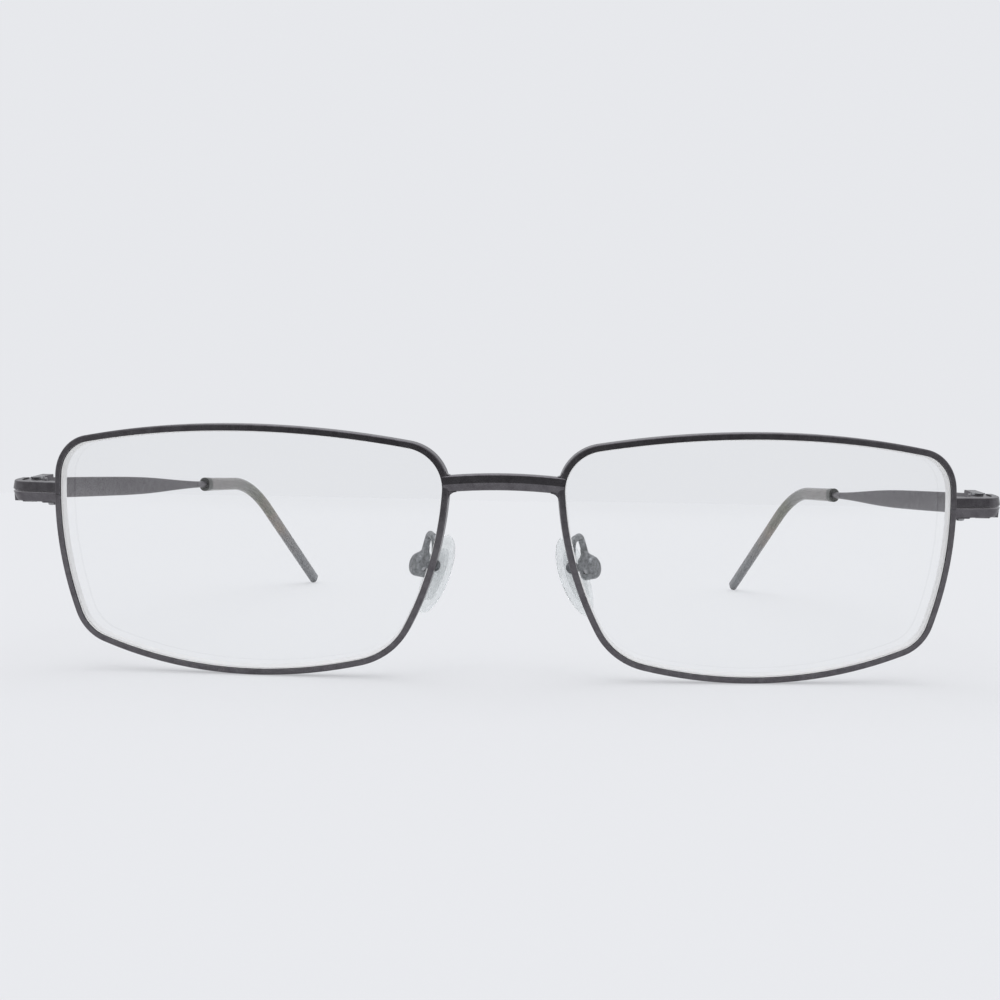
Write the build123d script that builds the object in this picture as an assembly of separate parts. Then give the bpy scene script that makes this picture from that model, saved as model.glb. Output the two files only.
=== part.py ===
from build123d import *
import os
from math import asin, atan, cos, degrees, sin, sqrt

# Full-rim metal eyeglasses with rectangular lenses, standing open on a flat surface.
# Millimetres. X runs to the right as seen from the front, Y runs back along the temples, Z is up.
# The front is drawn upright about the middle of the bridge at lens height, and then tilted.
# The right half is drawn, and the left half is its mirror image.

# The lens
LENS_WIDTH = 54.9
LENS_HEIGHT = 34.2
LENS_GAP = 16.3
LENS_THICKNESS = 1.2
LENS_CURVE = 130.0
BEVEL_HEIGHT = 0.32
BEVEL_WIDTH = 0.9
BEVEL_SETBACK = 0.15
BEVEL_CHAMFER = 0.3

# Corners of the lens outline before they are rounded, from the middle of the lens, as shares of
# its width (towards the temple) and of its height, in turn: top nasal, top, bottom, bottom nasal
CORNER_SHARES = ((-0.501, 0.413), (0.487, 0.411), (0.450, -0.373), (-0.360, -0.419))
# How far each side bows out, as a share of its chord: top, temple side, bottom, nose side
BOW_SHARES = (0.0556, 0.0587, 0.0794, 0.0784)
# The radius at each corner, as a share of the height, in the order of the corners
ROUND_SHARES = (0.175, 0.164, 0.156, 0.282)

# The rim
RIM_WALL = 0.85
RIM_DEPTH = 1.8
RIM_PROUD = 0.3
RIM_ROUNDING = 0.22
GROOVE_PLAY = 0.05
SPLIT_GAP = 0.05

# The front as a whole
FRONT_TILT = 10.0
FRONT_WRAP = 4.0

# The bridge
BRIDGE_LEVEL = 10.1
BRIDGE_HEIGHT = 2.25
BRIDGE_DEPTH = 1.4
BRIDGE_ARCH = 0.45
BRIDGE_PROUD = 0.3
BRIDGE_UPPER_LEAN = 0.22
BRIDGE_LOWER_LEAN = 0.4
BRIDGE_EDGE = 0.14
BRIDGE_LAP = 0.12

# The end piece
END_LEVEL = 7.06
END_HEIGHT = 2.9
END_THICKNESS = 1.15
END_REACH = 7.7
END_SLOPE = 6.0
END_CORNER = 3.0
END_LENGTH = 5.0
END_SETBACK = 0.15
END_NOTCH = 0.2
END_UPPER_LEAN = 0.24
END_LOWER_LEAN = 0.3
END_EDGE = 0.14
END_TOE_ROUNDING = 0.5
END_UPPER_SHARE = 0.46

# The closing block
LOCK_WIDTH = 2.6
LOCK_DEPTH = 1.9
LOCK_SETBACK = 0.9
LOCK_BELOW = 0.08
LOCK_ABOVE = 0.15
LOCK_EDGE = 0.25
LOCK_SPLIT_SHARE = 0.52
LOCK_SCREW_RADIUS = 0.42
LOCK_HEAD_RADIUS = 0.68
LOCK_HEAD_HEIGHT = 0.45
LOCK_HEAD_ROUNDING = 0.18
LOCK_SCREW_SHARE = 0.6

# The hinge
KNUCKLE_RADIUS = 1.2
KNUCKLE_HEIGHT = 0.9
KNUCKLE_PLAY = 0.05
HINGE_SIDE_PLAY = 0.12
HINGE_DROP = 0.1
LEAF_LENGTH = 4.4
FRONT_LEAF_LENGTH = 2.8
LEAF_FOOT_LENGTH = 3.6
LEAF_FOOT_WIDTH = 2.0
LEAF_EDGE = 0.3
HINGE_SCREW_RADIUS = 0.5
HINGE_HEAD_RADIUS = 0.85
HINGE_HEAD_HEIGHT = 0.3
SCREW_PLAY = 0.02
SLOT_WIDTH = 0.25
SLOT_DEPTH = 0.15
BUTT_GAP = 0.1

# The temple
TEMPLE_HEIGHT = 3.3
TEMPLE_THICKNESS = 1.2
TEMPLE_EDGE = 0.3
BAR_LENGTH = 57.7
BEND_AT = 88.9
TEMPLE_RISE = 2.35
TEMPLE_INSET = 2.2
CORE_RADIUS = 0.68
# Half the bar's outline: places along its length, and heights, as shares of those of the bar
BAR_SHARES = ((0.0, 0.90), (0.22, 0.97), (0.40, 1.0), (0.62, 0.93), (0.82, 0.63), (1.0, 0.41))

# The tip cover and its collar
TIP_RUN = 33.0
TIP_INSET = 7.8
TIP_HEIGHT = 2.9
TIP_WIDTH = 2.1
TIP_ROUNDING = 0.9
TIP_BEND_RADIUS = 27.0
NECK_LENGTH = 6.1
TIP_SOLID_END = 6.0
BORE_PLAY = 0.03
COLLAR_LENGTH = 2.0
COLLAR_STEP = 0.04
COLLAR_EDGE = 0.1

# The nose pad, on axes of its own: long way up, width front to back, face towards the nose
PAD_PIVOT_OUT = 12.45
PAD_PIVOT_BACK = 8.3
PAD_PIVOT_LEVEL = -3.0
PAD_FRONTAL_ANGLE = 21.0
PAD_SPLAY_ANGLE = 30.0
PAD_LENGTH = 12.6
PAD_WIDTH = 7.2
PAD_THICKNESS = 2.4
PAD_FACE_ROUNDING = 1.25
PAD_BACK_ROUNDING = 0.9
PAD_DROP = 1.1
PAD_CLEARANCE = 1.0
CORE_PLATE_LENGTH = 8.4
CORE_PLATE_WIDTH = 4.0
CORE_PLATE_THICKNESS = 0.6
CORE_PLATE_INSET = 0.7
MOULD_PLAY = 0.02
POST_WIDTH = 1.3
POST_HEIGHT = 1.7
POST_PAST_SCREW = 0.45

# The cup that holds the pad's post
CUP_RADIUS = 1.7
CUP_DEPTH = 2.2
CUP_WALL = 0.42
CUP_ROUNDING = 0.8
CUP_OPEN_SIDE = 1.0
PAD_SCREW_RADIUS = 0.34
PAD_HEAD_RADIUS = 0.6
PAD_HEAD_HEIGHT = 0.2

# The pad arm
ARM_RADIUS = 0.48
ARM_FOOT_LEVEL = -1.6
ARM_TOP_LEVEL = 1.95
ARM_STAND = 1.2
ARM_RISE_BACK = 0.5
ARM_LOOP_WIDTH = 1.2
ARM_LOOP_BACK = 3.2
ARM_BEND = 1.15
ARM_SEAT_INSET = 0.3

# One overrun for every cut
OVERRUN = 3.0


# Places that follow from the sizes above
TIP_MOUTH_AT = BAR_LENGTH + NECK_LENGTH
LENS_OUT = (LENS_GAP + LENS_WIDTH) / 2
RIM_INSIDE = -BEVEL_HEIGHT
RIM_OUTSIDE = RIM_WALL - BEVEL_HEIGHT
RIM_BACK = RIM_DEPTH - RIM_PROUD
FRONT = Pos(LENS_OUT, 0, 0) * Rot(Z=FRONT_WRAP)
TILT = Rot(X=FRONT_TILT)


def grown(arc, growth):
    """The arc about the same centre, with its radius made larger by `growth`."""
    points = [arc @ 0, arc @ 0.5, arc @ 1]
    return ThreePointArc(*[point + (point - arc.arc_center).normalized() * growth for point in points])


def outline(growth):
    """Face of the lens outline, grown outwards all round, in the plane of the lens."""
    corners = [Vector(out * LENS_WIDTH, up * LENS_HEIGHT) for out, up in CORNER_SHARES]
    sides = []
    for number, bow in enumerate(BOW_SHARES):
        start = corners[number]
        end = corners[(number + 1) % len(corners)]
        sides.append(SagittaArc(start, end, bow * (end - start).length))
    face = make_face(sides)
    for corner, share in zip(corners, ROUND_SHARES):
        face = fillet(face.vertices().sort_by_distance(corner)[0], share * LENS_HEIGHT)
    return Plane.XZ * make_face([grown(arc, growth) for arc in face.edges()])


def outline_reach(level, growth):
    """Where a level line crosses the grown outline, on the nose side and on the temple side."""
    row = Line((-LENS_WIDTH, 0, level), (LENS_WIDTH, 0, level)) & outline(growth)
    box = row.bounding_box()
    return box.min.X, box.max.X


def on_front(out, level, behind):
    """A point `behind` the curved lens face, given from the lens' middle, on the front's axes."""
    sag = LENS_CURVE - sqrt(LENS_CURVE**2 - out**2 - level**2)
    return (FRONT * Pos(out, sag + behind, level)).position


def prism(face):
    """The face drawn out to both sides, further than the front is deep."""
    return extrude(face, LENS_HEIGHT, both=True)


def curved_plate(face, front, back):
    """The face as a plate that follows the lens curve, from `front` to `back` behind its surface."""
    middle = Pos(0, LENS_CURVE, 0)
    return prism(face) & middle * Sphere(LENS_CURVE - front) - middle * Sphere(LENS_CURVE - back)


def bevel(play):
    """The V-shaped ridge round the lens or, with play, the groove that takes it."""
    ridge = curved_plate(outline(play), BEVEL_SETBACK - play, BEVEL_SETBACK + BEVEL_WIDTH + play)
    return chamfer(ridge.faces().filter_by(GeomType.SPHERE).edges(), BEVEL_CHAMFER)


def lens():
    """Clear lens: a curved plate with a V-shaped ridge round its edge."""
    plate = curved_plate(outline(RIM_INSIDE - GROOVE_PLAY), 0, LENS_THICKNESS)
    return plate + bevel(0)


def rim_blank():
    """The rim and all that it goes round, with the rim's outer edges rounded."""
    blank = curved_plate(outline(RIM_OUTSIDE), -RIM_PROUD, RIM_BACK)
    return fillet(blank.faces().filter_by(GeomType.SPHERE).edges(), RIM_ROUNDING)


def rim():
    """Grooved rim, sawn through at the closing block."""
    ring = rim_blank() - prism(outline(RIM_INSIDE)) - bevel(GROOVE_PLAY)
    saw = Pos(LENS_WIDTH / 2, 0, LOCK_SPLIT) * Box(OVERRUN, 2 * LENS_HEIGHT, SPLIT_GAP)
    return ring - saw


# The closing block and the end piece lie outside the rim at this level
LOCK_BOTTOM = END_LEVEL - END_HEIGHT / 2 - LOCK_BELOW
LOCK_TOP = END_LEVEL + END_HEIGHT / 2 - LOCK_ABOVE
LOCK_SPLIT = LOCK_BOTTOM + LOCK_SPLIT_SHARE * (LOCK_TOP - LOCK_BOTTOM)
RIM_SIDE = on_front(outline_reach(END_LEVEL, RIM_OUTSIDE)[1], END_LEVEL, -RIM_PROUD)
END_FRONT = RIM_SIDE.Y + END_SETBACK
END_OUT = RIM_SIDE.X + END_REACH
BUTT = END_FRONT + END_LENGTH
HINGE_OUT = END_OUT - END_THICKNESS - HINGE_SIDE_PLAY - KNUCKLE_RADIUS
HINGE_LEVEL = END_LEVEL - HINGE_DROP


def bridge():
    """Arched bar with a crease along the middle of its front, lapped over both rims."""
    side = on_front(outline_reach(BRIDGE_LEVEL, RIM_OUTSIDE)[0], BRIDGE_LEVEL, -RIM_PROUD)
    half = side.X + RIM_WALL
    front = side.Y - BRIDGE_PROUD
    top = BRIDGE_HEIGHT / 2
    ridge = (front + BRIDGE_UPPER_LEAN, top)
    toe = (front + BRIDGE_LOWER_LEAN, -top)
    heel = (front + BRIDGE_DEPTH, -top)
    crest = (front + BRIDGE_DEPTH, top)
    face = make_face(Polyline((front, 0), ridge, crest, heel, toe, close=True))
    face = chamfer(face.vertices().sort_by(Axis.X)[1:], BRIDGE_EDGE)
    radius = (half**2 + BRIDGE_ARCH**2) / (2 * BRIDGE_ARCH)
    turn = degrees(asin((half + OVERRUN) / radius))
    level = BRIDGE_LEVEL + BRIDGE_ARCH / 2
    axis = Axis((0, 0, level - radius), (0, 1, 0))
    bar = revolve((Plane.YZ * Pos(0, level) * face).rotate(axis, -turn), axis, 2 * turn)
    seat = FRONT * rim_blank()
    window = FRONT * prism(outline(RIM_INSIDE + BRIDGE_LAP))
    for cutter in (seat, window):
        bar = bar - cutter - mirror(cutter, about=Plane.YZ)
    return bar.solids().sort_by(SortBy.VOLUME)[-1]


def end_piece():
    """Bar with a groove along its middle, from the rim, round the corner and back to the hinge."""
    start = Vector(RIM_SIDE.X - OVERRUN, END_FRONT)
    along = Vector(1, 0, 0).rotate(Axis.Z, END_SLOPE)
    corner = start + along * ((END_OUT - start.X) / along.X)
    path = FilletPolyline(start, corner, (END_OUT, BUTT), radius=END_CORNER)
    top = END_HEIGHT / 2
    step = top - END_UPPER_SHARE * END_HEIGHT
    ridge = (END_UPPER_LEAN, top)
    notch = [(0, step + END_NOTCH), (END_NOTCH, step), (0, step - END_NOTCH)]
    toe = (END_LOWER_LEAN, -top)
    back = [(END_THICKNESS, -top), (END_THICKNESS, top)]
    face = make_face(Polyline(ridge, *notch, toe, *back, close=True))
    face = fillet(face.vertices().sort_by_distance(ridge)[0], END_EDGE)
    face = fillet(face.vertices().sort_by_distance(toe)[0], END_TOE_ROUNDING)
    section = Plane(start, x_dir=along.rotate(Axis.Z, 90), z_dir=along)
    bar = Pos(0, 0, END_LEVEL) * sweep(section * face, path)
    return bar - FRONT * prism(outline(RIM_OUTSIDE))


def lock_blocks(end_bar):
    """Upper and lower halves of the closing block, soldered to the sawn ends of the rim."""
    inner = RIM_SIDE.X - OVERRUN
    outer = RIM_SIDE.X + LOCK_WIDTH
    front = END_FRONT + LOCK_SETBACK
    back = END_FRONT + END_THICKNESS + LOCK_DEPTH
    middle = Pos((inner + outer) / 2, (front + back) / 2, 0)
    cut = SPLIT_GAP / 2
    halves = []
    for low, high in ((LOCK_SPLIT + cut, LOCK_TOP), (LOCK_BOTTOM, LOCK_SPLIT - cut)):
        block = middle * Pos(0, 0, (low + high) / 2) * Box(outer - inner, back - front, high - low)
        block = fillet(block.faces().sort_by(Axis.X)[-1].edges(), LOCK_EDGE)
        block = block - FRONT * prism(outline(RIM_OUTSIDE)) - end_bar
        block = block.solids().sort_by(Axis.Y)[-1]
        halves.append(block - Pos(LOCK_SCREW_OUT, LOCK_SCREW_BACK, 0) * lock_bore())
    return halves


LOCK_SCREW_OUT = RIM_SIDE.X + LOCK_SCREW_SHARE * LOCK_WIDTH
LOCK_SCREW_BACK = END_FRONT + END_THICKNESS + LOCK_DEPTH / 2
LOCK_SCREW_TOP = LOCK_TOP - LOCK_SCREW_RADIUS


def upright(radius, low, high):
    """Cylinder about Z between two levels."""
    return Pos(0, 0, (low + high) / 2) * Cylinder(radius, high - low)


def lock_bore():
    return upright(LOCK_SCREW_RADIUS + SCREW_PLAY, LOCK_BOTTOM - OVERRUN, LOCK_SCREW_TOP + SCREW_PLAY)


def lock_screw():
    """Slotted screw that comes up from below through both halves of the closing block."""
    low = LOCK_BOTTOM - LOCK_HEAD_HEIGHT
    screw = upright(LOCK_HEAD_RADIUS, low, LOCK_BOTTOM)
    screw = fillet(screw.faces().sort_by(Axis.Z)[0].edges(), LOCK_HEAD_ROUNDING)
    screw += upright(LOCK_SCREW_RADIUS, LOCK_BOTTOM, LOCK_SCREW_TOP)
    slot = Pos(0, 0, low) * Box(OVERRUN, SLOT_WIDTH, 2 * SLOT_DEPTH)
    return Pos(LOCK_SCREW_OUT, LOCK_SCREW_BACK, 0) * (screw - slot)


# The three knuckles stand on the hinge axis, with the temple's in the middle
MIDDLE = KNUCKLE_HEIGHT / 2
KNUCKLE_TOP = MIDDLE + KNUCKLE_PLAY + KNUCKLE_HEIGHT
LEAF_WIDTH = KNUCKLE_RADIUS + HINGE_SIDE_PLAY
HINGE = Pos(HINGE_OUT, BUTT, HINGE_LEVEL)


def leaf_plate(near, far, half_height):
    """Flat plate beside the hinge axis, from `near` to `far` behind it."""
    width = LEAF_WIDTH + END_THICKNESS / 2 - LEAF_EDGE
    return Pos(LEAF_EDGE + width / 2, (near + far) / 2, 0) * Box(width, far - near, 2 * half_height)


def hinge_front_leaf(end_bar):
    """Leaf with the upper and lower knuckles, soldered inside the end piece."""
    leaf = leaf_plate(-FRONT_LEAF_LENGTH, 0, KNUCKLE_TOP)
    leaf += upright(KNUCKLE_RADIUS, -KNUCKLE_TOP, KNUCKLE_TOP)
    foot = Box(LEAF_FOOT_WIDTH, LEAF_FOOT_LENGTH - LEAF_WIDTH, 2 * KNUCKLE_TOP)
    leaf += Pos(LEAF_EDGE - LEAF_FOOT_WIDTH / 2, -(LEAF_FOOT_LENGTH + LEAF_WIDTH) / 2, 0) * foot
    gap = MIDDLE + KNUCKLE_PLAY
    leaf -= Pos(0, OVERRUN - LEAF_WIDTH, 0) * Box(4 * LEAF_WIDTH, 2 * OVERRUN, 2 * gap)
    leaf -= upright(HINGE_SCREW_RADIUS + SCREW_PLAY, -OVERRUN, OVERRUN)
    return (HINGE * leaf - end_bar).solids().sort_by(SortBy.VOLUME)[-1]


def hinge_temple_leaf(bar):
    """Leaf with the middle knuckle, soldered inside the temple."""
    knuckle = leaf_plate(0, LEAF_WIDTH + OVERRUN / 2, MIDDLE) + upright(KNUCKLE_RADIUS, -MIDDLE, MIDDLE)
    leaf = knuckle + leaf_plate(LEAF_WIDTH + KNUCKLE_PLAY, LEAF_LENGTH, KNUCKLE_TOP)
    leaf -= upright(HINGE_SCREW_RADIUS + SCREW_PLAY, -OVERRUN, OVERRUN)
    return (TILT * HINGE * leaf - bar).solids().sort_by(SortBy.VOLUME)[-1]


def hinge_screw():
    """Slotted screw that is the pin of the hinge, with its head on top."""
    top = KNUCKLE_TOP + HINGE_HEAD_HEIGHT
    screw = upright(HINGE_SCREW_RADIUS, -KNUCKLE_TOP, KNUCKLE_TOP)
    screw += upright(HINGE_HEAD_RADIUS, KNUCKLE_TOP, top)
    return HINGE * (screw - Pos(0, 0, top) * Box(OVERRUN, SLOT_WIDTH, 2 * SLOT_DEPTH))


# The temple runs from the middle of the butt joint to its bend, and its tip comes down to the table
FLOOR = (TILT * FRONT * rim_blank()).bounding_box().min.Z
TEMPLE_START = (TILT * Pos(END_OUT - TEMPLE_THICKNESS / 2, BUTT, HINGE_LEVEL)).position
BEND = TEMPLE_START + Vector(-TEMPLE_INSET, BEND_AT, TEMPLE_RISE)
ALONG = (BEND - TEMPLE_START).normalized()
SIDEWAYS = ALONG.cross(Vector(0, 0, 1)).normalized()
TIP_FALL = atan((BEND.Z - FLOOR) / TIP_RUN)
TIP_LIFT = TIP_ROUNDING * (1 - sin(TIP_FALL)) + (TIP_HEIGHT / 2 - TIP_ROUNDING) * cos(TIP_FALL)
TIP_END = Vector(BEND.X - TIP_INSET, BEND.Y + TIP_RUN, FLOOR + TIP_LIFT)
CORE_END = TIP_END - (TIP_END - BEND).normalized() * TIP_SOLID_END


def down_the_tip(face, start, end):
    """The face swept from a distance along the temple, round the bend and down to `end`."""
    first = TEMPLE_START + ALONG * start
    path = FilletPolyline(first, BEND, end, radius=TIP_BEND_RADIUS)
    return sweep(Plane(first, x_dir=SIDEWAYS, z_dir=ALONG) * face, path)


def temple():
    """Flat bar that tapers into the round wire at the core of the tip."""
    upper = [(along * BAR_LENGTH, high * TEMPLE_HEIGHT / 2) for along, high in BAR_SHARES]
    top = Spline(*upper)
    bottom = mirror(top, about=Plane.XZ)
    ends = [Line(top @ 0, bottom @ 0), Line(top @ 1, bottom @ 1)]
    side = Plane(TEMPLE_START, x_dir=ALONG, z_dir=SIDEWAYS)
    blade = extrude(make_face([top, bottom] + ends), TEMPLE_THICKNESS / 2, both=True)
    long_edges = blade.edges().filter_by(GeomType.BSPLINE)
    blade = side * fillet(long_edges, TEMPLE_EDGE)
    wire = down_the_tip(Circle(CORE_RADIUS), BAR_LENGTH - CORE_RADIUS, CORE_END)
    stop = Pos(END_OUT, BUTT + BUTT_GAP - OVERRUN, HINGE_LEVEL) * Box(LENS_WIDTH, 2 * OVERRUN, LENS_WIDTH)
    return blade - TILT * stop + wire


def temple_tip():
    """Plastic cover over the core wire, bent down behind the ear."""
    cover = down_the_tip(Rot(Z=90) * SlotOverall(TIP_HEIGHT, TIP_WIDTH), TIP_MOUTH_AT, TIP_END)
    last = cover.faces().sort_by_distance(TIP_END)[0]
    cover = fillet(last.edges(), TIP_ROUNDING)
    bore_end = CORE_END + (TIP_END - BEND).normalized() * BORE_PLAY
    return cover - down_the_tip(Circle(CORE_RADIUS + BORE_PLAY), TIP_MOUTH_AT - OVERRUN, bore_end)


def tip_collar():
    """Metal ring that closes the mouth of the tip cover."""
    face = Rot(Z=90) * SlotOverall(TIP_HEIGHT + 2 * COLLAR_STEP, TIP_WIDTH + 2 * COLLAR_STEP)
    ring = extrude(face, COLLAR_LENGTH)
    ring = fillet(ring.faces().filter_by(Plane.XY).edges(), COLLAR_EDGE)
    ring -= Cylinder(CORE_RADIUS + BORE_PLAY, OVERRUN * COLLAR_LENGTH)
    spot = TEMPLE_START + ALONG * (TIP_MOUTH_AT - COLLAR_LENGTH)
    return Plane(spot, x_dir=SIDEWAYS, z_dir=ALONG) * ring


# The pad's own axes meet on the cross screw: X away from the nose, Y back, Z up the pad
PAD_TURN = Rot(Y=-PAD_FRONTAL_ANGLE) * Rot(Z=-PAD_SPLAY_ANGLE)
PAD = Pos(PAD_PIVOT_OUT, PAD_PIVOT_BACK, PAD_PIVOT_LEVEL) * PAD_TURN
PAD_BACK = -CUP_OPEN_SIDE - PAD_CLEARANCE
PAD_FACE = PAD_BACK - PAD_THICKNESS
CUP_BACK = CUP_DEPTH - CUP_OPEN_SIDE
CUP_BORE = CUP_RADIUS - CUP_WALL
PLATE_BACK = PAD_BACK - CORE_PLATE_INSET
PAD_HEAD_SEAT = CUP_RADIUS - PAD_HEAD_HEIGHT


def oval(length, width, start, thickness):
    """Oval plate across the pad's X axis, from `start` towards the rim."""
    return Pos(start, 0, -PAD_DROP) * extrude(Plane.YZ * Ellipse(width / 2, length / 2), thickness)


def crosswise(radius, start, end):
    """Cylinder along the pad's Y axis."""
    return Pos(0, (start + end) / 2, 0) * Rot(X=90) * Cylinder(radius, end - start)


def pad_core(play):
    """Hard plate inside the pad and the post behind it or, with play, the room that they need."""
    plate = oval(
        CORE_PLATE_LENGTH + 2 * play, CORE_PLATE_WIDTH + 2 * play,
        PLATE_BACK - CORE_PLATE_THICKNESS - play, CORE_PLATE_THICKNESS + 2 * play,
    )
    start = PLATE_BACK - CORE_PLATE_THICKNESS / 2
    post = Box(POST_PAST_SCREW - start, POST_WIDTH + 2 * play, POST_HEIGHT + 2 * play)
    return plate + Pos((start + POST_PAST_SCREW) / 2, 0, 0) * post


def pad_insert():
    """The pad's hard core, with the cross hole through its post."""
    return PAD * (pad_core(0) - crosswise(PAD_SCREW_RADIUS + SCREW_PLAY, -OVERRUN, OVERRUN))


def nose_pad():
    """Soft oval pad, crowned towards the nose."""
    pad = oval(PAD_LENGTH, PAD_WIDTH, PAD_FACE, PAD_THICKNESS)
    pad = fillet(pad.faces().sort_by(Axis.X)[0].edges(), PAD_FACE_ROUNDING)
    pad = fillet(pad.faces().sort_by(Axis.X)[-1].edges(), PAD_BACK_ROUNDING)
    return PAD * (pad - pad_core(MOULD_PLAY))


def lengthwise(radius, start, end):
    """Cylinder along the pad's X axis."""
    return Pos((start + end) / 2, 0, 0) * Rot(Y=90) * Cylinder(radius, end - start)


def cup_blank():
    cup = lengthwise(CUP_RADIUS, -CUP_OPEN_SIDE, CUP_BACK)
    return fillet(cup.faces().sort_by(Axis.X)[-1].edges(), CUP_ROUNDING)


def pad_box():
    """Round cup, open towards the nose, drilled across for the screw."""
    cup = cup_blank() - lengthwise(CUP_BORE, -CUP_OPEN_SIDE - OVERRUN, CUP_BACK - CUP_WALL)
    cup -= crosswise(PAD_SCREW_RADIUS + SCREW_PLAY, -OVERRUN, OVERRUN)
    return PAD * (cup - crosswise(PAD_HEAD_RADIUS + SCREW_PLAY, PAD_HEAD_SEAT, OVERRUN))


def pad_screw():
    """Slotted screw across the cup, on which the pad rocks."""
    end = PAD_HEAD_SEAT + PAD_HEAD_HEIGHT
    screw = crosswise(PAD_SCREW_RADIUS, -PAD_HEAD_SEAT, PAD_HEAD_SEAT)
    screw += crosswise(PAD_HEAD_RADIUS, PAD_HEAD_SEAT, end)
    return PAD * (screw - Pos(0, end, 0) * Box(SLOT_WIDTH, SLOT_DEPTH, OVERRUN))


def pad_arm():
    """Bent wire from the back of the rim, up and over, and down to the cup."""
    middle = outline_reach(ARM_FOOT_LEVEL, RIM_OUTSIDE - RIM_WALL / 2)[0]
    foot = on_front(middle, ARM_FOOT_LEVEL, RIM_BACK)
    end = (PAD * Pos(0, 0, CUP_BORE)).position
    stand = foot + Vector(0, ARM_STAND, 0)
    rise = Vector(stand.X, stand.Y + ARM_RISE_BACK, ARM_TOP_LEVEL)
    loop = rise + Vector(ARM_LOOP_WIDTH, ARM_LOOP_BACK, 0)
    base = foot - Vector(0, ARM_SEAT_INSET, 0)
    path = FilletPolyline(base, stand, rise, loop, end, radius=ARM_BEND)
    section = Plane(base, z_dir=path % 0) * Circle(ARM_RADIUS)
    return sweep(section, path) - FRONT * rim_blank() - PAD * cup_blank()


# The front's pieces lean with it, and the temples' pieces stand as they are
end_bar = end_piece()
temple_bar = temple()
upper_lock, lower_lock = lock_blocks(end_bar)
front_side = {
    "rim": FRONT * rim(),
    "lens": FRONT * lens(),
    "end_piece": end_bar,
    "lock_upper": upper_lock,
    "lock_lower": lower_lock,
    "lock_screw": lock_screw(),
    "hinge_front_leaf": hinge_front_leaf(end_bar),
    "hinge_screw": hinge_screw(),
    "pad_arm": pad_arm(),
    "pad_box": pad_box(),
    "pad_screw": pad_screw(),
    "pad_insert": pad_insert(),
    "nose_pad": nose_pad(),
}
temple_side = {
    "temple": temple_bar,
    "hinge_temple_leaf": hinge_temple_leaf(temple_bar),
    "tip_collar": tip_collar(),
    "temple_tip": temple_tip(),
}
pieces = {"bridge": TILT * bridge()}
for name, shape in front_side.items():
    pieces[name + "_right"] = TILT * shape
for name, shape in temple_side.items():
    pieces[name + "_right"] = shape
for name in list(front_side) + list(temple_side):
    pieces[name + "_left"] = mirror(pieces[name + "_right"], about=Plane.YZ)

# The origin is on the table, under the middle of the whole
reach = Compound(list(pieces.values())).bounding_box()
ORIGIN = Pos(0, -(reach.min.Y + reach.max.Y) / 2, -reach.min.Z)

os.makedirs("parts", exist_ok=True)
for name, shape in pieces.items():
    export_step(ORIGIN * shape, f"parts/{name}.step")
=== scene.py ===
# %% [markdown]
# # Rectangular metal eyeglasses
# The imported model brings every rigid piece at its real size: two grooved rims, two lenses, a
# bridge, end pieces, closing blocks with their screws, hinges, temples, tips and the metal
# parts of the nose pads. This lesson gives those pieces their finishes, makes the lenses' full
# edge, the soft nose pads and the solder that joins the metal, and sets up the picture.

# %% Load the model
import bpy
import bmesh
from math import cos, pi, radians
from mathutils import Matrix, Vector


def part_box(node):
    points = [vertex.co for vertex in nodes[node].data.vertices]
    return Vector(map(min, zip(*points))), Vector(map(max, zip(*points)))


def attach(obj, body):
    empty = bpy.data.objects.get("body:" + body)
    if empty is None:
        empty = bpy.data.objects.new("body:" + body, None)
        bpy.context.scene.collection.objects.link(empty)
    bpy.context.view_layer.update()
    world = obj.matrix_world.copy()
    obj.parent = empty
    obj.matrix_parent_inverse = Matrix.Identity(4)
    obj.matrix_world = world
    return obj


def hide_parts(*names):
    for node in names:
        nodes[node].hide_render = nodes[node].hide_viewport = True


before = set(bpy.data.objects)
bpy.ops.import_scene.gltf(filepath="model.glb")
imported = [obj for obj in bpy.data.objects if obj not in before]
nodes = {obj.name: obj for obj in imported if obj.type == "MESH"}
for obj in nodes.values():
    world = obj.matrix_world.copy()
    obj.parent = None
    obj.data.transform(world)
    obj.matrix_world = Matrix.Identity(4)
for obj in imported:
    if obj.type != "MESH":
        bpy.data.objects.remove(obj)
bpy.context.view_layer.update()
MM = 0.001

# %% [markdown]
# ## The camera
# The glasses fill the picture and the temples run away from us, so how fast they shrink tells
# how near the camera stood: about 12 cm in front of the lenses and a little above their middle.
# The camera looks straight along the temples, leans by one degree, and is shifted sideways
# in place of being turned, which keeps the two rims the same size.

# %% Camera
FRONT_PLACE = Vector((0, -64.333, 17.2259)) * MM
FRONT_AXES = Matrix.Translation(FRONT_PLACE) @ Matrix.Rotation(radians(10), 4, "X")
REARWARD = FRONT_AXES.to_3x3() @ Vector((0, 1, 0))
CAMERA_PLACE = FRONT_PLACE + Vector((5.46, -115.57, 8.09)) * MM
CAMERA_LEAN = radians(1.0)
CAMERA_TURN = radians(0.247)
LEVEL_LOOK = Matrix.Rotation(pi / 2, 4, "X")
SENSOR_WIDTH = 36
FOCAL_LENGTH = 30.6
SIDEWAYS_SHIFT = -0.04
NEAREST_SEEN = 5 * MM


def placed(name, data):
    """A new object in the scene, at the origin."""
    made = bpy.data.objects.new(name, data)
    bpy.context.scene.collection.objects.link(made)
    return made


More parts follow.
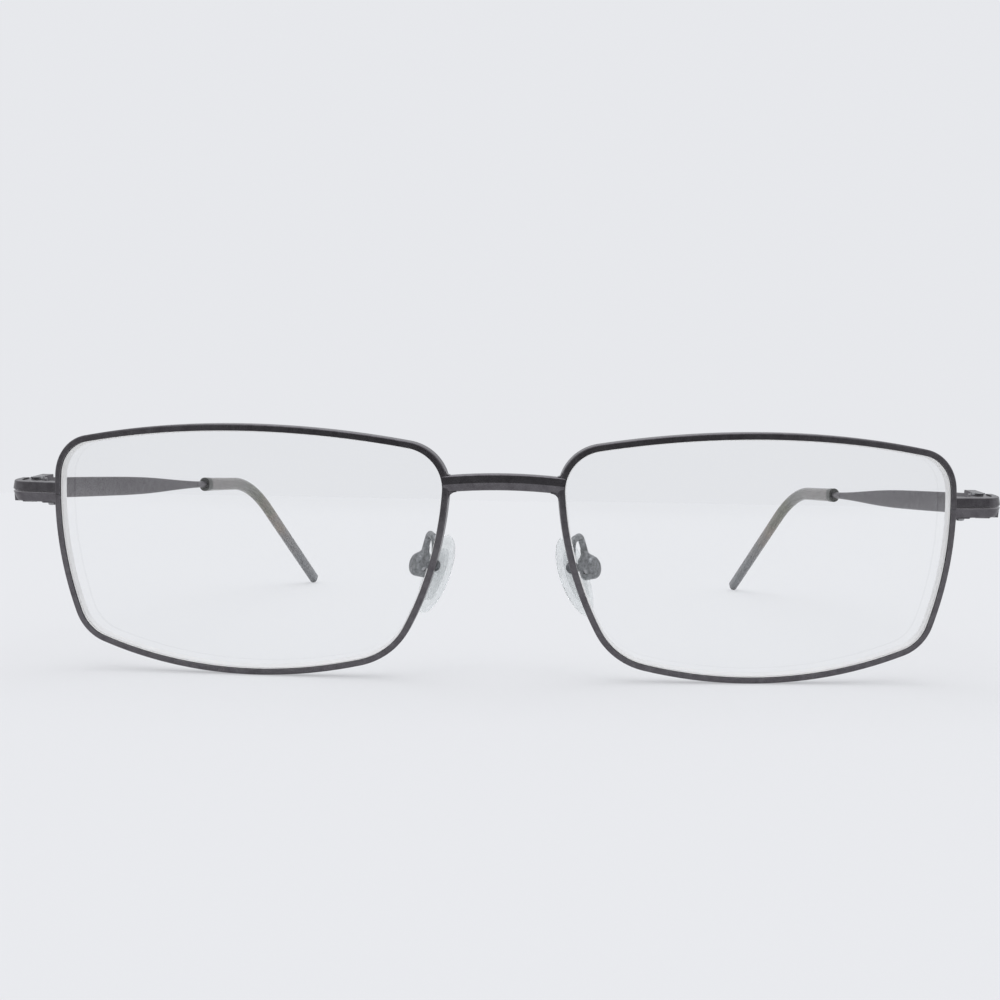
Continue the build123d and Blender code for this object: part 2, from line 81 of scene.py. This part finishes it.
camera = placed("camera", bpy.data.cameras.new("camera"))
camera.data.sensor_width = SENSOR_WIDTH
camera.data.lens = FOCAL_LENGTH
camera.data.shift_x = SIDEWAYS_SHIFT
camera.data.clip_start = NEAREST_SEEN
camera.matrix_world = (Matrix.Translation(CAMERA_PLACE) @ Matrix.Rotation(CAMERA_TURN, 4, "Z")
                       @ LEVEL_LOOK @ Matrix.Rotation(CAMERA_LEAN, 4, "Z"))
bpy.context.scene.camera = camera
bpy.context.scene.view_settings.view_transform = "Standard"
print("camera at", [round(c, 4) for c in camera.location])

# %% [markdown]
# ## Nodes in a few words
# The room, the floor and every finish are node trees. The same few steps come back in all of
# them, such as turning one value into another or passing from one shader to the next, so each
# step is a helper. An input takes a plain value or the output of another node.


# %% Helpers for nodes
def feed(tree, socket, value):
    """Gives an input a value of its own, or links the output of another node to it."""
    if isinstance(value, bpy.types.NodeSocket):
        tree.links.new(value, socket)
    else:
        socket.default_value = value


def fill_in(tree, node, **inputs):
    """Feeds the inputs of a node that are named."""
    for name, value in inputs.items():
        feed(tree, node.inputs[name.replace("_", " ")], value)


def add(tree, kind, **inputs):
    """A new node, with some of its inputs fed."""
    node = tree.nodes.new("ShaderNode" + kind)
    fill_in(tree, node, **inputs)
    return node


def sum_up(tree, kind, first, second):
    """Two values put together by one operation of the Math node."""
    node = tree.nodes.new("ShaderNodeMath")
    node.operation = kind
    feed(tree, node.inputs[0], first)
    feed(tree, node.inputs[1], second)
    return node.outputs["Value"]


def ramp(tree, source, low, high, start, end):
    """Turns a value between low and high smoothly into one between start and end."""
    node = add(tree, "MapRange", Value=source, From_Min=low, From_Max=high, To_Min=start,
               To_Max=end)
    node.interpolation_type = "SMOOTHSTEP"
    return node.outputs["Result"]


def mix(tree, share, first, second):
    """One shader that passes into another by a share between 0 and 1."""
    node = tree.nodes.new("ShaderNodeMixShader")
    for socket, source in zip(node.inputs, (share, first, second)):
        tree.links.new(source, socket)
    return node.outputs["Shader"]


print("helpers ready")

# %% [markdown]
# ## The light
# Thin dark metal shows hardly any colour of its own: what is seen on it is the room. A pale
# room all round, brighter overhead and darker on the side that the camera stands on, gives the
# rims a light upper edge and a dark face. The room is the world's own colour, because then the
# floor is lit alike at any distance and meets the background without a line.

# %% World
PALE = (0.80, 0.81, 0.84, 1)
# How far a direction points up, or away from the camera, and the light that comes from there
OVERHEAD = (0.76, 0.95, 0, 1.35)
CAMERA_SIDE = (-0.97, -0.55, 0.30, 0.96)
world = bpy.data.worlds.new("room")
bpy.context.scene.world = world
world.use_nodes = True
tree = world.node_tree
tree.nodes.clear()
where = tree.nodes.new("ShaderNodeTexCoord")
way = add(tree, "SeparateXYZ", Vector=where.outputs["Generated"])
level = sum_up(tree, "ADD", ramp(tree, way.outputs["Y"], *CAMERA_SIDE),
               ramp(tree, way.outputs["Z"], *OVERHEAD))
rays = tree.nodes.new("ShaderNodeLightPath")
not_yet_spread = sum_up(tree, "LESS_THAN", rays.outputs["Diffuse Depth"], 0.5)
through = sum_up(tree, "MULTIPLY", rays.outputs["Is Transmission Ray"], not_yet_spread)
seen = sum_up(tree, "MAXIMUM", rays.outputs["Is Camera Ray"], through)
light = add(tree, "Background", Color=PALE, Strength=level)
backdrop = add(tree, "Background", Color=PALE, Strength=1)
room = mix(tree, seen, light.outputs["Background"], backdrop.outputs["Background"])
add(tree, "OutputWorld", Surface=room)
print("room colour", PALE[:3])

# %% [markdown]
# ## The floor
# A wide sheet of matt paper. It has to be large, because the camera stands only 25 mm above
# it, and its far edge is seen close to the horizon.

# %% Floor
FLOOR_REACH = 12.0
sheet = bmesh.new()
bmesh.ops.create_circle(sheet, cap_ends=True, radius=FLOOR_REACH, segments=96)
floor_mesh = bpy.data.meshes.new("floor")
sheet.to_mesh(floor_mesh)
sheet.free()
floor = placed("floor", floor_mesh)
print("floor reaches", FLOOR_REACH, "m")

# %% [markdown]
# Thin paper on a bright table is never quite dark under an object, so half of what is seen of
# it is its own pale colour, and the other half is lit and holds the shadows. Near the camera
# the paper lies in the shade of whoever takes the picture. That part is out of view, and only
# the metal mirrors it: the upper bars of the rims look down at it, and turn darker than the
# lower ones. Light that comes through a lens counts as glossy too, and is left out of it.


# %% Paper
def new_material(name):
    """A new material, its node tree and its shader."""
    made = bpy.data.materials.new(name)
    made.use_nodes = True
    return made, made.node_tree, made.node_tree.nodes["Principled BSDF"]


def position(tree):
    """Where a point of the piece is, in metres."""
    return tree.nodes.new("ShaderNodeTexCoord").outputs["Object"]


def blend(tree, share, first, second):
    """One colour that passes into another by a share between 0 and 1."""
    return add(tree, "MixRGB", Fac=share, Color1=first, Color2=second).outputs["Color"]


def show(tree, surface):
    """Makes this shader the one that is seen."""
    tree.links.new(surface, tree.nodes["Material Output"].inputs["Surface"])


SHADE_FROM = -0.135
SHADE_TO = -0.175
SHADE_DEPTH = 0.8
OWN_COLOUR = 0.5
PAPER_WHITE = (0.82, 0.82, 0.82, 1)
BLACK = (0, 0, 0, 1)
paper, tree, shader = new_material("matt_paper")
rays = tree.nodes.new("ShaderNodeLightPath")
by_camera, by_gloss, by_glass = (rays.outputs[f"Is {kind} Ray"]
                                 for kind in ("Camera", "Glossy", "Transmission"))
back = add(tree, "SeparateXYZ", Vector=position(tree)).outputs["Y"]
shade = sum_up(tree, "MULTIPLY", sum_up(tree, "GREATER_THAN", by_gloss, by_glass),
               ramp(tree, back, SHADE_TO, SHADE_FROM, SHADE_DEPTH, 0))
fill_in(tree, shader, Base_Color=blend(tree, shade, PAPER_WHITE, BLACK), Roughness=0.9,
        Specular_IOR_Level=0.0)
glow = add(tree, "Emission", Color=blend(tree, shade, PALE, BLACK))
seen = sum_up(tree, "MAXIMUM", by_camera, sum_up(tree, "MAXIMUM", by_gloss, by_glass))
own = sum_up(tree, "MULTIPLY", seen, OWN_COLOUR)
show(tree, mix(tree, own, shader.outputs["BSDF"], glow.outputs["Emission"]))
floor_mesh.materials.append(paper)
print("paper ready")

# %% [markdown]
# ## Finishes
# Each finish starts from a shader with a grain of two sizes: a coarse one that varies the
# colour and the gloss over a millimetre or so, and a fine one that roughens the surface. The
# grain is read from Object coordinates, in metres, so it is the same size on every piece.


# %% A surface with grain
def noise(tree, scale, detail, roughness=0.5):
    """A noise with about this many waves in a metre."""
    made = add(tree, "TexNoise", Vector=position(tree), Scale=scale, Detail=detail,
               Roughness=roughness)
    return made.outputs["Fac"]


def colour_line(tree, share, stops):
    """The colour at a share of the way along a line of places with their colours."""
    node = add(tree, "ValToRGB", Fac=share)
    line = node.color_ramp.elements
    for index, (place, colour) in ((0, stops[0]), (1, stops[-1])):
        line[index].position = place
        line[index].color = (*colour, 1)
    for place, colour in stops[1:-1]:
        line.new(place).color = (*colour, 1)
    return node.outputs["Color"]


def relief(tree, height, strength, distance):
    """The direction of the surface with a fine bump."""
    bump = add(tree, "Bump", Height=height, Strength=strength, Distance=distance)
    return bump.outputs["Normal"]


NOISE_RANGE = (0.3, 0.7)


def finish(name, dark, light, gloss, coarse, fine, bump):
    """A material whose colour and roughness vary between two values, with a fine bump."""
    made, tree, shader = new_material(name)
    patches = noise(tree, coarse, 4.0, 0.6)
    grain = noise(tree, fine, 2.0)
    fill_in(tree, shader,
            Base_Color=colour_line(tree, patches, ((0.32, dark), (0.68, light))),
            Roughness=ramp(tree, grain, *NOISE_RANGE, *gloss),
            Normal=relief(tree, grain, *bump))
    return made


print("finish() ready")

# %% [markdown]
# ### Plated metal
# The rims, bridge, end pieces and temples are a nickel alloy with a dark plating, lacquered
# to a satin. The plating is a warm grey that turns a little purple in places. The arms of the
# pads are duller and paler, the collars darker, and the screws are bare steel.

# %% Metals
frame_metal = finish("dark_plating", (0.105, 0.098, 0.106), (0.150, 0.143, 0.152),
                     (0.25, 0.38), 900, 9000, (0.12, 0.00004))
arm_metal = finish("dull_plating", (0.075, 0.08, 0.085), (0.30, 0.31, 0.32),
                   (0.28, 0.46), 1900, 7000, (0.5, 0.00010))
collar_metal = finish("collar_plating", (0.085, 0.088, 0.082), (0.130, 0.133, 0.124),
                      (0.28, 0.42), 1200, 7000, (0.2, 0.00005))
screw_steel = finish("screw_steel", (0.30, 0.30, 0.31), (0.42, 0.42, 0.43),
                     (0.24, 0.38), 2000, 9000, (0.15, 0.00004))
for metal in (frame_metal, arm_metal, collar_metal, screw_steel):
    metal.node_tree.nodes["Principled BSDF"].inputs["Metallic"].default_value = 1.0
print("metals ready")

# %% [markdown]
# Each end piece has a fine groove between its two bands. Its lower edge catches the light, so
# the end pieces get a copy of the plating with a painted highlight, bright at the groove's
# level. The level is measured along the front's own upward line, because the front leans.

# %% The groove's painted highlight
GROOVE_LEVEL = 7.18 * MM
GROOVE_HALF = 0.14 * MM
GROOVE_FADES_AT = 0.2 * MM
GROOVE_HIGHLIGHT = (0.34, 0.33, 0.34, 1)
highlight_metal = frame_metal.copy()
highlight_metal.name = "grooved_plating"
tree = highlight_metal.node_tree
up = FRONT_AXES.to_3x3() @ Vector((0, 0, 1))
rise = tree.nodes.new("ShaderNodeVectorMath")
rise.operation = "DOT_PRODUCT"
feed(tree, rise.inputs[0], position(tree))
feed(tree, rise.inputs[1], up)
above = sum_up(tree, "SUBTRACT", rise.outputs["Value"], GROOVE_LEVEL + up.dot(FRONT_PLACE))
# Painted highlight: the colour turns bright in a thin band at the groove's level
painted_highlight = ramp(tree, sum_up(tree, "ABSOLUTE", above, 0), GROOVE_HALF, GROOVE_FADES_AT, 1, 0)
plating = tree.nodes["Principled BSDF"].inputs["Base Color"]
feed(tree, plating, blend(tree, painted_highlight, plating.links[0].from_socket, GROOVE_HIGHLIGHT))
print("groove at", GROOVE_LEVEL, "m")

# %% [markdown]
# ### Lenses
# A lens is polished on both sides and ground matt all round its edge, where it sits in the
# rim. Through the polished side that matt edge shows as a pale band beside the rim. The two
# are separate materials, given to the faces where the lenses are made. Light on its way to a
# matt surface behind the lens goes straight through the glass, or the floor and the ground
# edge would be lit too little.


# %% Polished glass
def let_light_by(tree, shader, tint):
    """Shows the shader, but lets light on its way to a matt surface straight through."""
    rays = tree.nodes.new("ShaderNodeLightPath")
    on_its_way = sum_up(tree, "MAXIMUM", rays.outputs["Is Shadow Ray"],
                        rays.outputs["Is Diffuse Ray"])
    clear = add(tree, "BsdfTransparent", Color=tint)
    show(tree, mix(tree, on_its_way, shader.outputs["BSDF"], clear.outputs["BSDF"]))


lens_glass, tree, shader = new_material("lens")
film = blend(tree, noise(tree, 130.0, 3.0), (0.98, 0.985, 0.985, 1), (0.99, 0.995, 0.995, 1))
fill_in(tree, shader, Base_Color=film, Transmission_Weight=1.0, Roughness=0.0, IOR=1.5)
let_light_by(tree, shader, (0.96, 0.965, 0.965, 1))
print("glass ready")

# %% [markdown]
# The ground edge is seen mostly from inside the glass. A shader without any gloss looks the
# same from both of its sides, so the frost has none, and only its grit varies it.

# %% Ground edge
ground_edge, tree, shader = new_material("ground_edge")
grit = noise(tree, 6000.0, 2.0)
fill_in(tree, shader, IOR=1.0, Specular_IOR_Level=0.0,
        Roughness=ramp(tree, grit, *NOISE_RANGE, 0.45, 0.7),
        Base_Color=blend(tree, grit, (0.86, 0.85, 0.84, 1), (0.96, 0.95, 0.94, 1)))
print("ground edge ready")

# %% [markdown]
# ### Temple tips
# The tips are a smoky plastic, clear enough that the core wire darkens their middle. Their
# colour drifts along the length: grey at the collar, olive round the bend, brown below it and
# cool grey at the end. The drift is read from how far back a point is, and large soft patches
# move it about, as in mottled plastic. The plastic takes up light as well as passing it on, so
# part of it is a matt body under a glossy skin.

# %% Tips
TIP_FROM = 0.008
TIP_TO = 0.067
TIP_DRIFT = 0.5
TIP_COLOURS = ((0.0, (0.30, 0.28, 0.27)), (0.30, (0.27, 0.27, 0.25)),
               (0.48, (0.22, 0.225, 0.175)), (0.64, (0.31, 0.265, 0.225)),
               (0.80, (0.24, 0.235, 0.235)), (1.0, (0.22, 0.23, 0.24)))
tip_plastic, tree, shader = new_material("smoky_plastic")
patches = noise(tree, 220.0, 3.0, 0.55)
specks = noise(tree, 1500.0, 3.0, 0.6)
back = add(tree, "SeparateXYZ", Vector=position(tree)).outputs["Y"]
drift = sum_up(tree, "MULTIPLY", sum_up(tree, "SUBTRACT", patches, 0.5), TIP_DRIFT)
along = sum_up(tree, "ADD", ramp(tree, back, TIP_FROM, TIP_TO, 0, 1), drift)
mottle = add(tree, "HueSaturation", Color=colour_line(tree, along, TIP_COLOURS),
             Value=ramp(tree, specks, *NOISE_RANGE, 0.86, 1.14))
fill_in(tree, shader, Base_Color=mottle.outputs["Color"], Transmission_Weight=0.35, IOR=1.49,
        Roughness=ramp(tree, specks, *NOISE_RANGE, 0.14, 0.24))
print("tips ready")

# %% [markdown]
# ### Nose pad plastics
# The pad is clear silicone, moulded round a harder clear core. Where two clear materials
# touch, light bends only by the ratio of the two, so the core's own number is that ratio and
# its outline is faint, as it is in a real pad. A fine skin texture and a dull coat keep the
# silicone from looking like glass, and it lets less light through where it turns away, so its
# outline shows.


# %% Pad plastics
def clear_plastic(name, colour, gloss, through, ior, grain):
    """A clear plastic with a fine skin, which lets light go on to what lies behind it."""
    made, tree, shader = new_material(name)
    skin = noise(tree, grain, 3.0, 0.6)
    clouds = noise(tree, 900.0, 3.0, 0.6)
    turned_away = add(tree, "LayerWeight", Blend=0.5).outputs["Facing"]
    body = ramp(tree, clouds, 0.35, 0.65, *through)
    fill_in(tree, shader, Base_Color=(*colour, 1), IOR=ior, Coat_Weight=0.45,
            Coat_Roughness=0.25, Roughness=ramp(tree, skin, *NOISE_RANGE, *gloss),
            Normal=relief(tree, skin, 0.2, 0.00005),
            Transmission_Weight=sum_up(tree, "SUBTRACT", body,
                                       ramp(tree, turned_away, 0.6, 1.0, 0, 0.6)))
    let_light_by(tree, shader, (0.93, 0.94, 0.94, 1))
    return made


silicone = clear_plastic("clear_silicone", (0.91, 0.93, 0.93), (0.08, 0.18), (0.76, 0.92),
                         1.05, 2500.0)
pad_core = clear_plastic("clear_core", (0.90, 0.91, 0.91), (0.10, 0.22), (0.55, 0.75),
                         1.04, 1800.0)
print("pad plastics ready")

# %% [markdown]
# ### Finishes on the pieces
# The pieces come in right and left pairs that share a finish, so the list names each kind of
# piece once. A finish goes into the slots that the model brings, and the mesh stays as it is.

# %% Give every piece of the model its finish
FINISHES = {
    "rim": frame_metal, "bridge": frame_metal, "end_piece": highlight_metal,
    "lock_upper": frame_metal, "lock_lower": frame_metal, "lock_screw": screw_steel,
    "hinge_front_leaf": frame_metal, "hinge_temple_leaf": frame_metal, "hinge_screw": screw_steel,
    "temple": frame_metal, "tip_collar": collar_metal, "temple_tip": tip_plastic,
    "lens": lens_glass, "pad_arm": arm_metal, "pad_box": arm_metal, "pad_screw": screw_steel,
    "pad_insert": pad_core, "nose_pad": silicone,
}
for name, piece in nodes.items():
    kind = name.replace("_left", "").replace("_right", "")
    for slot in piece.material_slots:
        slot.material = FINISHES[kind]
print("finished", len(nodes), "pieces")

# %% [markdown]
# ## Lenses
# A lens stands out behind its rim. Each lens is made from a copy of the model's own, with the
# copy's loose triangles merged. Its polished sides are found from their middle outwards, up to
# the first crease; all the rest is ground matt.


# %% The polished sides of a lens
def polished_side(form, middle, way):
    """The faces that meet the one in the middle of the side facing that way without a crease."""
    facing = [face for face in form.faces if face.normal.dot(way) > 0.9]
    found = {min(facing, key=lambda face: (face.calc_center_median() - middle).length)}
    border = list(found)
    while border:
        face = border.pop()
        for beside in {other for edge in face.edges for other in edge.link_faces} - found:
            if beside.normal.dot(face.normal) > cos(radians(10)):
                found.add(beside)
                border.append(beside)
    return found


print("polished_side() ready")

# %% [markdown]
# The back is moved rearward and drawn in a little, so the last part of the edge slopes
# inwards, as an optician cuts it to keep the edge from being sharp. Seen from the front, that
# edge is the pale line inside the rim. The normals that came with the loose triangles don't
# fit merged ones, so the shading is set anew.

# %% Lenses
LENS_BACK = 0.85 * MM
LENS_DRAW_IN = 0.35 * MM
SAME_POINT = 1e-7
for side in ("right", "left"):
    form = bmesh.new()
    form.from_mesh(nodes["lens_" + side].data)
    bmesh.ops.remove_doubles(form, verts=form.verts, dist=SAME_POINT)
    low, high = (Vector(corner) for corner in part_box("lens_" + side))
    middle = (low + high) / 2
    back_side = polished_side(form, middle, REARWARD)
    polished = back_side | polished_side(form, middle, -REARWARD)
    for face in form.faces:
        face.material_index = int(face not in polished)
    back = list({vertex for face in back_side for vertex in face.verts})
    shrink = [1 - 2 * LENS_DRAW_IN / (high[axis] - low[axis]) for axis in (0, 2)]
    bmesh.ops.scale(form, verts=back, vec=(shrink[0], 1, shrink[1]),
                    space=Matrix.Translation(-middle))
    bmesh.ops.translate(form, verts=back, vec=REARWARD * LENS_BACK)
    open_edges = sum(not edge.is_manifold for edge in form.edges)
    print("lens", side, len(form.faces), "faces,", len(polished), "polished,", open_edges,
          "open edges")
    mesh = bpy.data.meshes.new("full_lens_" + side)
    form.to_mesh(mesh)
    form.free()
    mesh.attributes.remove(mesh.attributes["custom_normal"])
    mesh.shade_smooth()
    mesh.set_sharp_from_angle(angle=radians(15))
    mesh.materials.append(lens_glass)
    mesh.materials.append(ground_edge)
    lens = placed("full_lens_" + side, mesh)
    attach(lens, "front")
    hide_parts("lens_" + side)

# %% [markdown]
# ## Nose pads
# A pad is a soft oval, thick in the middle of the face that meets the nose and almost flat
# behind. It starts as a ball whose poles look towards the nose and the rim. Raising the
# distance from the pole's line to a power below one pushes the sides outwards, so the edge
# is full and the faces are flat, as on a moulded pad. It is a little wider at its upper end.

# %% The form of a pad
PAD_LENGTH = 12.6 * MM
PAD_WIDTH = 7.2 * MM
PAD_FACE_HIGH = 1.45 * MM
PAD_BACK_HIGH = 0.95 * MM
PAD_EDGE_PLACE = -3.0 * MM
PAD_DROP = 1.1 * MM
PAD_FULLNESS = 0.72
PAD_TAPER = 0.08
ON_THE_LINE = 1e-6


def pad_form():
    """A closed oval in the pad's own axes, with its crowned face towards -X."""
    form = bmesh.new()
    bmesh.ops.create_uvsphere(form, u_segments=64, v_segments=40, radius=1)
    bmesh.ops.rotate(form, verts=form.verts, matrix=Matrix.Rotation(pi / 2, 3, "Y"))
    for vertex in form.verts:
        out = Vector((0, vertex.co.y, vertex.co.z)).length
        spread = out ** (PAD_FULLNESS - 1) if out > ON_THE_LINE else 0
        high = PAD_FACE_HIGH if vertex.co.x < 0 else PAD_BACK_HIGH
        narrow = 1 + PAD_TAPER * vertex.co.z * spread
        vertex.co = Vector((
            PAD_EDGE_PLACE + vertex.co.x * high,
            vertex.co.y * spread * narrow * PAD_WIDTH / 2 / (1 + PAD_TAPER),
            vertex.co.z * spread * PAD_LENGTH / 2 - PAD_DROP,
        ))
    return form


print("pad", PAD_LENGTH, "x", PAD_WIDTH, "m")

# %% [markdown]
# The pads stand where the screws of their cups are, splayed to the slope of a nose. The left
# one is the right one's mirror image, and mirroring turns its faces round, so they are made
# to point outwards again.

# %% Nose pads
PAD_PIVOT = Vector((12.45, 8.3, -3.0)) * MM
PAD_SPLAY = radians(-21)
PAD_FLARE = radians(-30)
PAD_AXES = (FRONT_AXES @ Matrix.Translation(PAD_PIVOT) @ Matrix.Rotation(PAD_SPLAY, 4, "Y")
            @ Matrix.Rotation(PAD_FLARE, 4, "Z"))
SIDES = {"right": Matrix.Identity(4), "left": Matrix.Scale(-1, 4, (1, 0, 0))}
for side, flip in SIDES.items():
    form = pad_form()
    form.transform(flip @ PAD_AXES)
    bmesh.ops.recalc_face_normals(form, faces=form.faces)
    mesh = bpy.data.meshes.new("soft_pad_" + side)
    form.to_mesh(mesh)
    form.free()
    mesh.shade_smooth()
    mesh.materials.append(silicone)
    pad = placed("soft_pad_" + side, mesh)
    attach(pad, "pad_" + side)
    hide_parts("nose_pad_" + side)
    for title, corners in (("model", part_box("nose_pad_" + side)), ("own", pad.bound_box)):
        spans = [max(c[axis] for c in corners) - min(c[axis] for c in corners)
                 for axis in range(3)]
        print(pad.name, title, "box in mm", [round(span / MM, 2) for span in spans])

# %% [markdown]
# ## Solder
# The pieces of a metal frame are joined with silver solder, which runs into each corner and
# leaves a small hollow fillet. Two kinds are made here. A corner fillet starts as a block in
# the corner, and its free edge is bevelled away with a hollow profile. A ring fillet, round
# the foot of a wire, is a hollow slope turned about the wire with the spin operator.


# %% A soldered piece
def finished_piece(name, form, place, body, material):
    """A new object from the form, put in its place, that rides on a body."""
    form.transform(place)
    bmesh.ops.recalc_face_normals(form, faces=form.faces)
    mesh = bpy.data.meshes.new(name)
    form.to_mesh(mesh)
    form.free()
    mesh.shade_smooth()
    mesh.set_sharp_from_angle(angle=radians(50))
    mesh.materials.append(material)
    piece = placed(name, mesh)
    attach(piece, body)


print("finished_piece() ready")

# %% [markdown]
# ### Solder at the bridge
# The bridge meets each rim at a steep corner below and a flat one above. Solder fills both,
# deeper below. Each place is given on the front's own axes: the corner between rim and
# bridge, and how far the solder reaches from it.

# %% Corner fillets under and over the bridge
HOLLOW_REACH = 0.93
HOLLOW_PROFILE = 0.09
BRIDGE_SOLDER = {
    "under": ((7.56, 1.74, 8.95), (-1.15, 0.95, -1.1)),
    "over": ((7.85, 1.74, 11.15), (-0.55, 0.95, 0.5)),
}


def corner_fillet(size):
    """A block of this size with a corner at the origin and its opposite long edge hollowed."""
    form = bmesh.new()
    bmesh.ops.create_cube(form, size=1)
    bmesh.ops.translate(form, verts=form.verts, vec=(0.5, 0, 0.5))
    free = [edge for edge in form.edges
            if all(vertex.co.x > 0.9 and vertex.co.z > 0.9 for vertex in edge.verts)]
    bmesh.ops.bevel(form, geom=free, offset=HOLLOW_REACH, offset_type="OFFSET", affect="EDGES",
                    segments=10, profile=HOLLOW_PROFILE, material=-1)
    bmesh.ops.scale(form, verts=form.verts, vec=size)
    return form


for name, (corner, size) in BRIDGE_SOLDER.items():
    for side, flip in SIDES.items():
        place = flip @ FRONT_AXES @ Matrix.Translation(Vector(corner) * MM)
        finished_piece(f"solder_{name}_bridge_{side}", corner_fillet([c * MM for c in size]), place,
                       "front", frame_metal)
print("bridge soldered at", list(BRIDGE_SOLDER))

# %% [markdown]
# ### Solder at the pad arms
# Each arm is a round wire, soldered to the back of the rim at its foot and to the cup at its
# end. Each place is given by its point on the front's own axes, the way the wire leaves it,
# and the solder's radius at the foot, the wire's own radius and the solder's height.

# %% Ring fillets round the pad arms
RING_HOLLOW = 2.4
RING_STEPS = 8
WIRE_RADIUS = 0.49
RING_PLACES = {
    "arm_foot": ((9.655, 2.18, -1.6), (0, 1, 0), (0.95, WIRE_RADIUS, 0.75)),
    "arm_end": ((11.86, 8.3, -1.75), (-1.14, -1.12, 3.75), (1.25, WIRE_RADIUS, 1.7)),
}


def ring_fillet(wide, narrow, high):
    """A hollow slope turned about Z, from a wide foot at the origin to the wire's own size."""
    form = bmesh.new()
    outline = [(0, 0)]
    for step in range(RING_STEPS + 1):
        share = step / RING_STEPS
        outline.append((narrow + (wide - narrow) * (1 - share) ** RING_HOLLOW, high * share))
    outline.append((0, high))
    points = [form.verts.new((radius, 0, level)) for radius, level in outline]
    edges = [form.edges.new(pair) for pair in zip(points, points[1:])]
    bmesh.ops.spin(form, geom=points + edges, cent=(0, 0, 0), axis=(0, 0, 1), angle=2 * pi,
                   steps=32, use_merge=True)
    bmesh.ops.remove_doubles(form, verts=form.verts, dist=SAME_POINT)
    return form


for name, (foot, up, reach) in RING_PLACES.items():
    turn = Vector(up).to_track_quat("Z", "Y").to_matrix().to_4x4()
    for side, flip in SIDES.items():
        place = flip @ FRONT_AXES @ Matrix.Translation(Vector(foot) * MM) @ turn
        finished_piece(f"solder_{name}_{side}", ring_fillet(*[c * MM for c in reach]), place,
                       "front", arm_metal)
print("arms soldered at", list(RING_PLACES))
